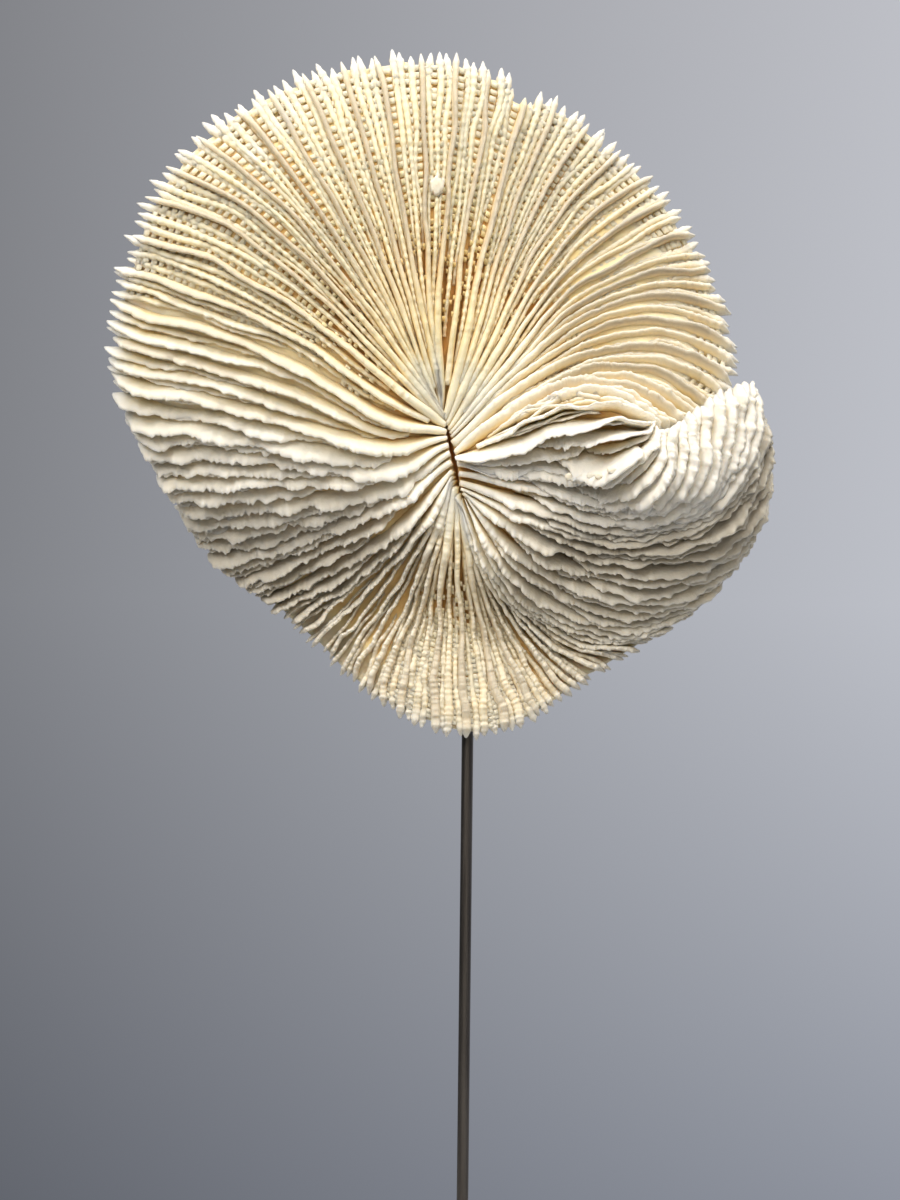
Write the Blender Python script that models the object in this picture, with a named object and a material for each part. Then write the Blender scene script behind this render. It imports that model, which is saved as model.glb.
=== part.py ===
"""A mushroom coral skeleton held upright on a steel rod that stands on a plain square steel plate.

The coral is one grown piece: a folded disc whose upper face carries hundreds of thin radiating
walls (septa) around a slit mouth. Its form is set by ribs, the lines of single septa from the mouth
to the margin, and every other septum lies on the smooth surface that runs through those ribs.
Lengths here are millimetres until MM turns them into metres. The coral's own frame has the mouth at
its origin, X to the right, Z up and Y away from the side that the mouth faces.
"""
import math

import bmesh
import bpy
import numpy as np
from mathutils import Matrix, Vector

MM = 0.001

# Stand
PLATE_SIDE = 110.0
PLATE_THICK = 8.0
PLATE_CHAMFER = 1.0
ROD_RADIUS = 1.5
ROD_SIDES = 24
ROD_SEAT_DEPTH = 4.0
SHARP_EDGE_DEG = 40
EXPOSED_ROD = 200.0
FIT_GAP = 0.3

# How the coral sits on the rod, in the coral's own frame
ROD_X = 4.0
ROD_Y = 17.3
ROD_TOP_Z = -47.0
LOWEST_TIP_Z = -76.3
CORAL_LEAN_DEG = -0.63

# Plate of the coral and its walls
THICK_CENTRE = 9.0
THICK_MARGIN = 3.5
STEEPEST_FACING = 0.45
MOUTH_PIT = 3.0
HOLLOW_SHARE = 0.965
TOOTH_LIFT = 0.3
WALL_LEAN = 0.1
WALL_HEIGHTS = (4.4, 3.4, 2.4)
WALL_STARTS = (0.0, 0.18, 0.42)
WALL_RISE = 0.14
WALL_SINK = 0.45
WALL_SINKS_FROM = 0.8
COSTA_HEIGHT = 0.7
COSTA_RISE = (0.15, 0.5)

# Rings of the mesh: the shares of the way out, and how many ridges each ring has
INNER_RINGS = (32, (0.0, 0.05, 0.10, 0.15))
MIDDLE_RINGS = (64, (0.20, 0.26, 0.32, 0.38))
OUTER_RINGS = (128, (0.44, 0.51, 0.58, 0.65, 0.72, 0.79, 0.86, 0.92))
BACK_RINGS = ((128, (0.93, 0.84, 0.72, 0.60, 0.46)), (64, (0.32, 0.18)), (32, (0.06,)))

# The fold at the right stands out as a ridge, and more septa run over it than its width would hold
RIDGE_RIBS = slice(9, 12)
MORE_ON_RIDGE = 1.6

# How the surface is read: steps for its normals, and the most that a tangent may exceed its chords
STEP_ROUND = 0.004
STEP_OUT = 0.02
TANGENT_LIMIT = 1.6
SMALLEST = 1e-9
FACING = np.array([0.0, -1.0, 0.0])

# Each rib has five stations from the mouth to the margin, each (x, z, depth). The ribs go clockwise
# round the mouth as its own side sees them, from the one that points straight up.
RIBS = (
    ((-2.3, 7.0, 5), (-3.6, 28.8, 1), (-2.3, 52.0, -1), (-0.5, 75.0, 0), (1.5, 98.0, 4)),
    ((-1.7, 6.0, 5), (1.0, 28.0, 1), (3.5, 50.5, 1), (7.3, 73.0, 3), (11.8, 95.5, 7)),
    ((-1.2, 4.6, 5), (5.5, 25.5, 2), (10.8, 46.5, 4), (18.0, 67.5, 8), (27.5, 88.8, 13)),
    ((-0.8, 3.2, 5), (9.5, 22.5, 3), (18.3, 41.3, 7), (30.3, 58.8, 13), (47.5, 75.0, 19)),
    ((-0.4, 1.8, 5), (14.8, 19.0, 4), (27.8, 34.5, 9), (45.5, 45.5, 15), (63.5, 53.8, 21)),
    ((0.0, 0.5, 5), (17.3, 15.5, 4), (33.3, 25.8, 8), (52.0, 30.0, 12), (71.0, 25.0, 16)),
    ((0.3, -0.9, 5), (18.0, 12.0, 3.5), (34.0, 19.8, 7), (52.0, 21.3, 9), (69.0, 14.5, 11)),
    ((0.8, -2.4, 5), (16.5, 7.0, 2.5), (31.0, 13.2, 4.5), (46.5, 13.7, 5), (61.0, 6.5, 8)),
    ((1.3, -4.2, 5), (14.0, 0.0, 1), (27.0, 3.8, -2), (39.0, 4.0, -6), (50.0, 1.5, -3)),
    ((1.6, -6.4, 5), (19.0, -7.0, 4), (37.0, -9.5, 2), (47.5, -8.0, -7), (53.0, 2.0, -6)),
    ((1.8, -8.8, 5), (19.5, -11.5, 4.5), (39.5, -15.0, 4), (57.0, -10.0, -6), (62.5, 10.0, -6)),
    ((2.0, -11.0, 5), (19.5, -15.5, 5), (40.5, -19.5, 6), (63.5, -11.0, -2), (74.0, 15.3, -1)),
    ((2.4, -12.8, 5), (19.0, -19.8, 6), (39.0, -25.0, 8), (63.0, -21.5, 4), (80.5, -2.0, 5)),
    ((3.0, -13.8, 5), (16.0, -24.3, 8), (33.0, -31.5, 12), (55.0, -33.5, 12), (79.0, -18.5, 13)),
    ((3.0, -14.3, 5), (11.5, -27.3, 9), (25.5, -38.0, 16), (44.0, -44.5, 19), (65.5, -40.0, 19)),
    ((2.5, -14.0, 5), (7.8, -28.5, 10), (15.5, -41.0, 18), (25.5, -53.0, 20), (37.0, -60.8, 18)),
    ((2.0, -13.2, 5), (4.2, -28.8, 10), (7.8, -45.0, 17), (12.3, -60.0, 16), (17.5, -73.5, 12.5)),
    ((1.5, -12.2, 5), (1.5, -28.3, 9), (2.3, -44.5, 15), (3.3, -60.5, 13.5), (4.5, -76.3, 10.5)),
    ((1.0, -11.0, 5), (-1.8, -27.0, 9), (-4.0, -42.5, 15), (-6.0, -58.0, 14), (-7.0, -73.3, 11)),
    ((0.7, -9.8, 5), (-4.8, -25.0, 9), (-10.0, -39.0, 16), (-16.0, -52.5, 17), (-21.0, -66.0, 15)),
    ((0.6, -8.5, 5), (-8.3, -19.5, 8), (-18.3, -29.0, 16), (-29.0, -39.3, 22), (-40.0, -49.3, 23)),
    ((0.4, -7.1, 5), (-12.0, -17.5, 8), (-25.5, -24.3, 15), (-39.8, -31.3, 22), (-53.5, -38.0, 26)),
    ((0.1, -5.6, 5), (-15.0, -13.5, 7), (-31.0, -18.3, 13), (-46.8, -23.8, 20), (-62.3, -30.0, 25)),
    ((-0.3, -4.0, 5), (-16.8, -10.5, 6), (-34.3, -14.3, 10), (-53.0, -17.5, 15), (-70.5, -18.8, 21)),
    ((-0.7, -2.6, 5), (-16.8, -7.5, 4), (-35.5, -9.5, 6), (-54.3, -10.0, 8), (-73.0, -12.0, 11)),
    ((-1.1, -1.2, 5), (-16.8, -4.0, 3), (-38.0, -2.0, 3), (-59.3, 0.0, 4), (-80.0, -1.3, 7)),
    ((-1.5, 0.3, 5), (-19.5, -1.0, 1), (-41.0, 4.5, 0), (-63.0, 9.3, 0), (-86.0, 13.0, 2)),
    ((-1.9, 1.8, 5), (-18.0, 5.5, 0), (-39.0, 18.0, -3), (-61.8, 25.8, -4), (-86.3, 31.3, -3)),
    ((-2.3, 3.3, 5), (-17.3, 14.3, -1), (-36.8, 28.8, -5), (-58.5, 40.8, -7), (-82.0, 48.0, -6)),
    ((-2.6, 4.7, 5), (-16.0, 20.0, -1), (-31.8, 36.8, -5), (-51.8, 53.3, -8), (-75.5, 63.3, -7)),
    ((-2.9, 6.0, 5), (-12.0, 23.8, 0), (-24.0, 44.3, -4), (-38.0, 65.0, -6), (-53.0, 85.8, -3)),
    ((-2.9, 7.0, 5), (-8.0, 26.3, 0), (-13.3, 48.8, -2), (-19.3, 72.5, -2), (-25.5, 97.0, 2)),
)


def hermite(points, tangents, spans, index, share):
    """Cubic between points[index] and the next one, where share runs from 0 to 1."""
    after = (index + 1) % len(points)
    span = spans[index][:, None]
    t = share[:, None]
    return (
        (2 * t**3 - 3 * t**2 + 1) * points[index]
        + (t**3 - 2 * t**2 + t) * span * tangents[index]
        + (3 * t**2 - 2 * t**3) * points[after]
        + (t**3 - t**2) * span * tangents[after]
    )


class CoralDisc:
    """The upper face of the coral's plate, as a point for each turn u round the mouth and share s out."""

    def __init__(self, ribs):
        # Stations as an array (rib, station, xyz), with Y as the depth
        self.ribs = np.array(ribs, float)[:, :, [0, 2, 1]]
        outer = self.ribs[:, 3:]
        gaps = np.linalg.norm(np.roll(outer, -1, axis=0) - outer, axis=2).mean(axis=1)
        gaps[RIDGE_RIBS] *= MORE_ON_RIDGE
        self.spans = gaps / gaps.sum()
        self.turns = np.concatenate([[0.0], np.cumsum(self.spans)[:-1]])

    def rib_points(self, s):
        """Every rib's point at share s, by a Catmull-Rom curve through its stations."""
        last = self.ribs.shape[1] - 1
        at = min(max(s, 0.0), 1.0) * last
        i = min(int(at), last - 1)
        t = at - i
        p1, p2 = self.ribs[:, i], self.ribs[:, i + 1]
        p0 = self.ribs[:, i - 1] if i > 0 else 2 * p1 - p2
        p3 = self.ribs[:, i + 2] if i + 2 <= last else 2 * p2 - p1
        return 0.5 * (
            2 * p1
            + (p2 - p0) * t
            + (2 * p0 - 5 * p1 + 4 * p2 - p3) * t**2
            + (3 * p1 - p0 - 3 * p2 + p3) * t**3
        )

    def row(self, u, s):
        """Points at turns u, all at share s."""
        points = self.rib_points(s)
        ahead = (np.roll(points, -1, axis=0) - points) / self.spans[:, None]
        behind = np.roll(ahead, 1, axis=0)
        before = np.roll(self.spans, 1)
        weight = (self.spans / (self.spans + before))[:, None]
        tangents = weight * behind + (1 - weight) * ahead
        # A tangent is cut back where neighbouring chords disagree, so that a sharp fold doesn't ripple
        small = np.minimum(np.linalg.norm(ahead, axis=1), np.linalg.norm(behind, axis=1))
        long = np.linalg.norm(tangents, axis=1)
        tangents *= np.minimum(1.0, TANGENT_LIMIT * small / np.maximum(long, SMALLEST))[:, None]
        u = np.mod(np.asarray(u, float), 1.0)
        index = np.searchsorted(self.turns, u, side="right") - 1
        share = (u - self.turns[index]) / self.spans[index]
        return hermite(points, tangents, self.spans, index, share)

    def frame(self, u, s):
        """Points at turns u and share s, and the upper face's normals there."""
        u = np.asarray(u, float)
        points = self.row(u, s)
        across = self.row(u + STEP_ROUND, s) - self.row(u - STEP_ROUND, s)
        low, high = max(s - STEP_OUT, 0.0), min(s + STEP_OUT, 1.0)
        along = self.row(u, high) - self.row(u, low)
        normal = np.cross(across, along)
        return points, normal / np.maximum(np.linalg.norm(normal, axis=1), SMALLEST)[:, None]


def smooth(low, high, value):
    """0 below low, 1 above high, and a smooth step between them."""
    t = min(max((value - low) / (high - low), 0.0), 1.0)
    return t * t * (3 - 2 * t)


def wall_height(order, s):
    """Height of a septum of this order above the plate: it grows from its start and sinks at the margin."""
    rise = smooth(WALL_STARTS[order], WALL_STARTS[order] + WALL_RISE, s)
    return WALL_HEIGHTS[order] * rise * (1 - WALL_SINK * smooth(WALL_SINKS_FROM, 1.0, s))


def wall_order(ridge, ridges):
    """0 for the septa that reach the mouth, 1 for those between them, and 2 for the youngest."""
    at = ridge * OUTER_RINGS[0] // ridges
    return 0 if at % 4 == 0 else 1 if at % 2 == 0 else 2


def front_row(disc, s, ridges):
    """One ring of the upper face: a crest and a valley for each ridge."""
    u = np.arange(2 * ridges) / (2 * ridges)
    points, normal = disc.frame(u, s)
    stand = FACING + WALL_LEAN * (normal - FACING)
    for i in range(ridges):
        points[2 * i] += stand[2 * i] * wall_height(wall_order(i, ridges), s)
    return list(zip(u, points))


def rim_row(disc, ridges):
    """The margin: each ridge ends in a tooth, and the plate stops a little short of it between two."""
    u = np.arange(2 * ridges) / (2 * ridges)
    on_tooth = (np.arange(2 * ridges) % 2 == 0)[:, None]
    points = np.where(on_tooth, disc.row(u, 1.0) + TOOTH_LIFT * FACING, disc.row(u, HOLLOW_SHARE))
    return list(zip(u, points))


def back_row(disc, s, columns):
    """One ring of the underside, straight behind the upper face, with a low costa on every other column."""
    u = np.arange(columns) / columns
    points, normal = disc.frame(u, s)
    thickness = THICK_MARGIN + (THICK_CENTRE - THICK_MARGIN) * (1 - s * s)
    depth = thickness / np.maximum(-normal[:, 1], STEEPEST_FACING)
    depth += COSTA_HEIGHT * smooth(*COSTA_RISE, s) * (np.arange(columns) % 2)
    return list(zip(u, points - FACING * depth[:, None]))


def zip_rings(mesh, inner, outer, flip):
    """Triangles between two closed rings, each a list of (turn, vertex), taken in step by their turns."""
    n, m = len(inner), len(outer)
    i = j = 0
    while i < n or j < m:
        next_inner = inner[(i + 1) % n][0] + (i + 1) // n if i < n else math.inf
        next_outer = outer[(j + 1) % m][0] + (j + 1) // m if j < m else math.inf
        a, b = inner[i % n][1], outer[j % m][1]
        if next_inner < next_outer:
            corners = (a, b, inner[(i + 1) % n][1])
            i += 1
        else:
            corners = (a, b, outer[(j + 1) % m][1])
            j += 1
        mesh.faces.new(corners[::-1] if flip else corners)


def coral_mesh():
    """The whole skeleton as one closed mesh, in metres."""
    disc = CoralDisc(RIBS)
    front_rings = (INNER_RINGS, MIDDLE_RINGS, OUTER_RINGS)
    front = [front_row(disc, s, ridges) for ridges, shares in front_rings for s in shares]
    rim = rim_row(disc, OUTER_RINGS[0])
    back = [back_row(disc, s, columns) for columns, shares in BACK_RINGS for s in shares]

    mesh = bmesh.new()
    rings = [
        [(turn, mesh.verts.new(Vector(point) * MM)) for turn, point in row]
        for row in front + [rim] + back
    ]
    for before, after in zip(rings, rings[1:]):
        zip_rings(mesh, before, after, flip=False)
    mouth = np.mean([point for _, point in front[0]], axis=0) - MOUTH_PIT * FACING
    scar = np.mean([point for _, point in back[-1]], axis=0)
    for ring, centre, flip in ((rings[0], mouth, True), (rings[-1], scar, False)):
        middle_vertex = mesh.verts.new(Vector(centre) * MM)
        for (_, a), (_, b) in zip(ring, ring[1:] + ring[:1]):
            corners = (a, b, middle_vertex)
            mesh.faces.new(corners[::-1] if flip else corners)
    bmesh.ops.recalc_face_normals(mesh, faces=mesh.faces)
    data = bpy.data.meshes.new("coral")
    mesh.to_mesh(data)
    mesh.free()
    return data


def finish_of(name, colour, roughness, metallic):
    """A Principled material with the piece's colour."""
    material = bpy.data.materials.new(name)
    material.use_nodes = True
    shader = material.node_tree.nodes["Principled BSDF"]
    shader.inputs["Base Color"].default_value = (*colour, 1.0)
    shader.inputs["Roughness"].default_value = roughness
    shader.inputs["Metallic"].default_value = metallic
    return material


def place(name, data, material=None):
    """A new object with this mesh and material."""
    piece = bpy.data.objects.new(name, data)
    bpy.context.scene.collection.objects.link(piece)
    if material:
        data.materials.append(material)
    return piece


def cylinder(name, radius, low, high, sides=ROD_SIDES):
    """A round bar along Z between two heights, on the rod's axis, in metres."""
    mesh = bmesh.new()
    turn = Matrix.Translation((0, 0, (low + high) / 2))
    bmesh.ops.create_cone(
        mesh, cap_ends=True, segments=sides, radius1=radius, radius2=radius, depth=high - low, matrix=turn
    )
    data = bpy.data.meshes.new(name)
    mesh.to_mesh(data)
    mesh.free()
    data.shade_smooth()
    data.set_sharp_from_angle(angle=math.radians(SHARP_EDGE_DEG))
    return data


def cut_with(piece, cutter):
    """Takes the cutter's shape out of the piece, and keeps the cutter out of the model."""
    cutter.hide_render = True
    cutter.display_type = "WIRE"
    cut = piece.modifiers.new("bore", "BOOLEAN")
    cut.operation = "DIFFERENCE"
    cut.object = cutter


def coral_place():
    """The matrix that sets the coral on the rod: the rod's axis is the world's Z axis."""
    lean = Matrix.Rotation(math.radians(CORAL_LEAN_DEG), 4, "Y")
    foot = lean @ Vector((ROD_X, ROD_Y, LOWEST_TIP_Z))
    target = Vector((0, 0, PLATE_THICK + EXPOSED_ROD))
    return Matrix.Translation((target - foot) * MM) @ lean


def build():
    for thing in list(bpy.data.objects):
        bpy.data.objects.remove(thing)

    skeleton = finish_of("coral skeleton", (0.86, 0.80, 0.66), 0.75, 0.0)
    steel = finish_of("dark steel rod", (0.16, 0.15, 0.14), 0.35, 1.0)
    black = finish_of("blackened steel plate", (0.04, 0.04, 0.04), 0.5, 1.0)

    coral = place("coral", coral_mesh(), skeleton)
    coral.matrix_world = coral_place()
    rod_top = (coral.matrix_world @ Vector((ROD_X * MM, ROD_Y * MM, ROD_TOP_Z * MM))).z
    rod_foot = (PLATE_THICK - ROD_SEAT_DEPTH) * MM
    rod = place("rod", cylinder("rod", ROD_RADIUS * MM, rod_foot, rod_top), steel)

    bore_radius = (ROD_RADIUS + FIT_GAP) * MM
    bore_low = (PLATE_THICK + EXPOSED_ROD / 2) * MM
    coral_bore = place("coral_bore", cylinder("coral_bore", bore_radius, bore_low, rod_top + FIT_GAP * MM))
    cut_with(coral, coral_bore)

    mesh = bmesh.new()
    sides = Vector((PLATE_SIDE, PLATE_SIDE, PLATE_THICK)) * MM
    bmesh.ops.create_cube(mesh, size=1.0, matrix=Matrix.Diagonal((*sides, 1)))
    bmesh.ops.translate(mesh, verts=mesh.verts, vec=(0, 0, sides.z / 2))
    data = bpy.data.meshes.new("base_plate")
    mesh.to_mesh(data)
    mesh.free()
    plate = place("base_plate", data, black)
    seat_low = rod_foot - FIT_GAP * MM
    seat = place("plate_seat", cylinder("plate_seat", bore_radius, seat_low, 2 * PLATE_THICK * MM))
    chamfer = plate.modifiers.new("chamfer", "BEVEL")
    chamfer.width = PLATE_CHAMFER * MM
    chamfer.segments = 2
    chamfer.limit_method = "ANGLE"
    cut_with(plate, seat)


build()
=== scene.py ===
import math

import bpy
import numpy as np
from mathutils import Matrix, Vector


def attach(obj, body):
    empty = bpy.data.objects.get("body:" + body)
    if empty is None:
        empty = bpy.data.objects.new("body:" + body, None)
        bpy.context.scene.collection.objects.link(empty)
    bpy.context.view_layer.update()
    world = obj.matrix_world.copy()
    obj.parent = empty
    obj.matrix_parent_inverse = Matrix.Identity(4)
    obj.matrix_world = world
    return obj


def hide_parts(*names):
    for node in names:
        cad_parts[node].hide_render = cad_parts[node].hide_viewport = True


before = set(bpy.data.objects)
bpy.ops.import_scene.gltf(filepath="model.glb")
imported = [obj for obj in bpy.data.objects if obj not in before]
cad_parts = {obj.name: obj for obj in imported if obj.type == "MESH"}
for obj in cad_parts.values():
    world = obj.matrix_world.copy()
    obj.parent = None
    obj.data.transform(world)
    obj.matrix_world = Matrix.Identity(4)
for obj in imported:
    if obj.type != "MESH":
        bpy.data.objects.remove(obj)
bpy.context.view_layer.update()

# How the coral sits on its rod. The skeleton is measured in millimetres from its mouth: X to the
# right, Z up, Y away from the side that the mouth faces. The rod's axis is the stand's own Z axis,
# and the coral leans a little on it.
MM = 0.001
PLATE_THICK = 8.0
EXPOSED_ROD = 200.0
ROD_X = 4.0
ROD_Y = 17.3
LOWEST_TIP_Z = -76.3
CORAL_LEAN_DEG = -0.63

lean = Matrix.Rotation(math.radians(CORAL_LEAN_DEG), 4, "Y")
foot = lean @ Vector((ROD_X, ROD_Y, LOWEST_TIP_Z))
coral_place = Matrix.Translation((Vector((0, 0, PLATE_THICK + EXPOSED_ROD)) - foot) * MM) @ lean

# The view: a level camera in front of the mouth, rolled by the little that the rod leans in the
# picture. In the picture the mouth is left of the middle and above it.
CAMERA_AWAY = 620.0
PICTURE_WIDE, PICTURE_HIGH = 900, 1200
MM_A_PIXEL = 0.25
MOUTH_PIXEL = (452, 440)

camera_data = bpy.data.cameras.new("camera")
camera_data.sensor_fit = "VERTICAL"
camera_data.angle = 2 * math.atan(PICTURE_HIGH * MM_A_PIXEL / 2 / CAMERA_AWAY)
camera_data.clip_start = 0.01
camera = bpy.data.objects.new("camera", camera_data)
bpy.context.scene.collection.objects.link(camera)
aim = Vector((
    (PICTURE_WIDE / 2 - MOUTH_PIXEL[0]) * MM_A_PIXEL,
    0.0,
    (MOUTH_PIXEL[1] - PICTURE_HIGH / 2) * MM_A_PIXEL,
))
spot = coral_place @ ((aim + Vector((0, -CAMERA_AWAY, 0))) * MM)
camera.matrix_world = (
    Matrix.Translation(spot) @ coral_place.to_3x3().to_4x4() @ Matrix.Rotation(math.radians(90), 4, "X")
)
bpy.context.scene.camera = camera
bpy.context.scene.view_settings.view_transform = "Standard"

# The floor is a round pale board, small enough to stay below the picture. Round it stands a plain grey
# room, dark below and pale above. It is dim in front and at the left, and brighter behind the coral and
# at the right.
BOARD_RADIUS = 0.33
BOARD_COLOUR = (0.50, 0.51, 0.53)
BOARD_ROUGHNESS = 0.7
ROOM_GREYS = ((0.0, (0.10, 0.10, 0.10)), (0.34, (0.12, 0.133, 0.165)), (0.50, (0.315, 0.325, 0.355)),
              (0.64, (0.325, 0.33, 0.355)), (1.0, (0.80, 0.77, 0.72)))
ROOM_FRONT = 0.25
ROOM_DEPTH = 0.7
ROOM_LEFT, ROOM_RIGHT = 0.55, 1.76
ROOM_SIDE = 0.24

bpy.ops.mesh.primitive_circle_add(vertices=96, radius=BOARD_RADIUS, fill_type="NGON")
board = bpy.context.object
board.name = "floor_board"
board_paint = bpy.data.materials.new("pale board")
board_paint.use_nodes = True
board_shader = board_paint.node_tree.nodes["Principled BSDF"]
board_shader.inputs["Base Color"].default_value = (*BOARD_COLOUR, 1)
board_shader.inputs["Roughness"].default_value = BOARD_ROUGHNESS
board.data.materials.append(board_paint)

room = bpy.data.worlds.new("grey room")
room.use_nodes = True
room_nodes, room_links = room.node_tree.nodes, room.node_tree.links
bearing = room_nodes.new("ShaderNodeTexCoord")
bearing_split = room_nodes.new("ShaderNodeSeparateXYZ")
room_links.new(bearing.outputs["Generated"], bearing_split.inputs["Vector"])
height_share = room_nodes.new("ShaderNodeMapRange")
height_share.inputs["From Min"].default_value = -1.0
room_links.new(bearing_split.outputs["Z"], height_share.inputs["Value"])
room_ramp = room_nodes.new("ShaderNodeValToRGB")
while len(room_ramp.color_ramp.elements) < len(ROOM_GREYS):
    room_ramp.color_ramp.elements.new(0.5)
for element, (at, colour) in zip(room_ramp.color_ramp.elements, ROOM_GREYS):
    element.position = at
    element.color = (*colour, 1)
room_links.new(height_share.outputs["Result"], room_ramp.inputs["Fac"])
depth_share = room_nodes.new("ShaderNodeMapRange")
depth_share.inputs["From Min"].default_value = 0.0
depth_share.inputs["From Max"].default_value = ROOM_DEPTH
depth_share.inputs["To Min"].default_value = ROOM_FRONT
room_links.new(bearing_split.outputs["Y"], depth_share.inputs["Value"])
side_share = room_nodes.new("ShaderNodeMapRange")
side_share.inputs["From Min"].default_value = -ROOM_SIDE
side_share.inputs["From Max"].default_value = ROOM_SIDE
side_share.inputs["To Min"].default_value = ROOM_LEFT
side_share.inputs["To Max"].default_value = ROOM_RIGHT
room_links.new(bearing_split.outputs["X"], side_share.inputs["Value"])
room_strength = room_nodes.new("ShaderNodeMath")
room_strength.operation = "MULTIPLY"
room_links.new(depth_share.outputs["Result"], room_strength.inputs[0])
room_links.new(side_share.outputs["Result"], room_strength.inputs[1])
room_links.new(room_strength.outputs["Value"], room_nodes["Background"].inputs["Strength"])
room_links.new(room_ramp.outputs["Color"], room_nodes["Background"].inputs["Color"])
bpy.context.scene.world = room

# The lamps are square and soft: one high at the right, two at the left, and a wide warm one in front that
# lights the slots between the walls. Each row is a name, the watts, the lamp's side and place in metres
# and its colour.
LAMPS = (
    ("key_lamp", 12.5, 0.45, (0.30, -0.66, 1.45), (1.0, 0.95, 0.87)),
    ("top_lamp", 6.0, 0.8, (-0.50, -0.70, 1.45), (1.0, 0.96, 0.90)),
    ("fill_lamp", 13.5, 0.8, (-0.80, -1.10, 1.10), (1.0, 0.95, 0.88)),
    ("glow_lamp", 6.0, 1.2, (0.15, -1.20, 0.90), (1.0, 0.88, 0.70)),
)

for name, watts, size, at, colour in LAMPS:
    lamp_data = bpy.data.lights.new(name, "AREA")
    lamp_data.energy = watts
    lamp_data.size = size
    lamp_data.color = colour
    lamp = bpy.data.objects.new(name, lamp_data)
    bpy.context.scene.collection.objects.link(lamp)
    lamp.location = at
    lamp.rotation_euler = (coral_place.translation - Vector(at)).to_track_quat("-Z", "Y").to_euler()

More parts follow.
